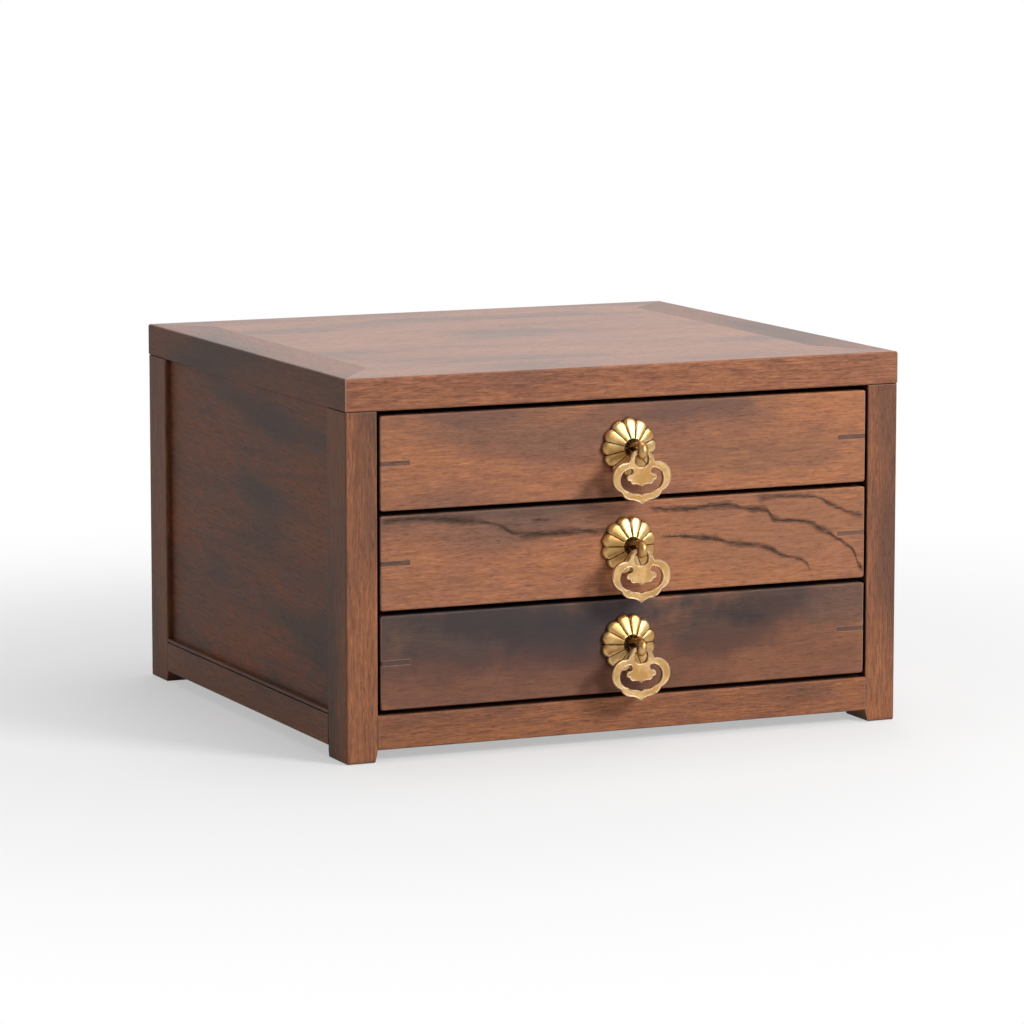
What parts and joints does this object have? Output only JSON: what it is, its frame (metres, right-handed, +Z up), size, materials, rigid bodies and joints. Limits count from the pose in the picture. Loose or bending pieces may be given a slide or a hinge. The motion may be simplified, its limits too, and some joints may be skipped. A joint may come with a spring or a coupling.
{
  "type": "tea box with drawers",
  "caption": "Wooden tabletop tea box with a framed case, stacked flush drawers and brass bail pulls on petalled rosettes.",
  "frame": {"origin": "on the floor, in the middle of the space that the box and its pulls take up", "axes": "+X to the right seen from the front, +Y to the back, +Z up; the drawers open towards -Y"},
  "size_m": [0.255, 0.2518, 0.16],
  "materials": {
    "frame_wood": "satin wax",
    "top_wood": "satin wax",
    "panel_wood": "satin wax",
    "front_wood": "satin wax",
    "inner_wood": "bare planed wood",
    "key_wood": "satin",
    "brass": "cast, lightly toned"
  },
  "bodies": {
    "case": {"top_frame_front": "frame_wood", "top_frame_back": "frame_wood", "top_frame_left": "frame_wood", "top_frame_right": "frame_wood", "top_panel": "top_wood", "post_front_left": "frame_wood", "post_front_right": "frame_wood", "post_back_left": "frame_wood", "post_back_right": "frame_wood", "rail_front": "frame_wood", "rail_back": "frame_wood", "rail_left": "frame_wood", "rail_right": "frame_wood", "side_panel_left": "panel_wood", "side_panel_right": "panel_wood", "back_panel": "panel_wood", "bottom_board": "panel_wood", "runner_left_1": "inner_wood", "runner_left_2": "inner_wood", "runner_left_3": "inner_wood", "runner_right_1": "inner_wood", "runner_right_2": "inner_wood", "runner_right_3": "inner_wood"},
    "drawer_1": {"drawer_1_front": "front_wood", "drawer_1_side_left": "inner_wood", "drawer_1_side_right": "inner_wood", "drawer_1_back": "inner_wood", "drawer_1_bottom": "inner_wood", "drawer_1_keys": "key_wood", "drawer_1_rosette": "brass", "drawer_1_split_pin": "brass"},
    "bail_1": {"drawer_1_bail": "brass"},
    "drawer_2": {"drawer_2_front": "front_wood", "drawer_2_side_left": "inner_wood", "drawer_2_side_right": "inner_wood", "drawer_2_back": "inner_wood", "drawer_2_bottom": "inner_wood", "drawer_2_keys": "key_wood", "drawer_2_rosette": "brass", "drawer_2_split_pin": "brass"},
    "bail_2": {"drawer_2_bail": "brass"},
    "drawer_3": {"drawer_3_front": "front_wood", "drawer_3_side_left": "inner_wood", "drawer_3_side_right": "inner_wood", "drawer_3_back": "inner_wood", "drawer_3_bottom": "inner_wood", "drawer_3_keys": "key_wood", "drawer_3_rosette": "brass", "drawer_3_split_pin": "brass"},
    "bail_3": {"drawer_3_bail": "brass"}
  },
  "joints": [
    {"name": "drawer_1_slide", "type": "slide", "parent": "case", "child": "drawer_1", "axis": [0, -1, 0], "range_m": [0, 0.17]},
    {"name": "bail_1_swing", "type": "hinge", "parent": "drawer_1", "child": "bail_1", "pos_m": [0, -0.12208, 0.12556], "axis": [-1, 0, 0], "range_deg": [-30, 145]},
    {"name": "drawer_2_slide", "type": "slide", "parent": "case", "child": "drawer_2", "axis": [0, -1, 0], "range_m": [0, 0.17]},
    {"name": "bail_2_swing", "type": "hinge", "parent": "drawer_2", "child": "bail_2", "pos_m": [0, -0.12208, 0.08406], "axis": [-1, 0, 0], "range_deg": [-30, 145]},
    {"name": "drawer_3_slide", "type": "slide", "parent": "case", "child": "drawer_3", "axis": [0, -1, 0], "range_m": [0, 0.17]},
    {"name": "bail_3_swing", "type": "hinge", "parent": "drawer_3", "child": "bail_3", "pos_m": [0, -0.12208, 0.04256], "axis": [-1, 0, 0], "range_deg": [-30, 145]}
  ]
}
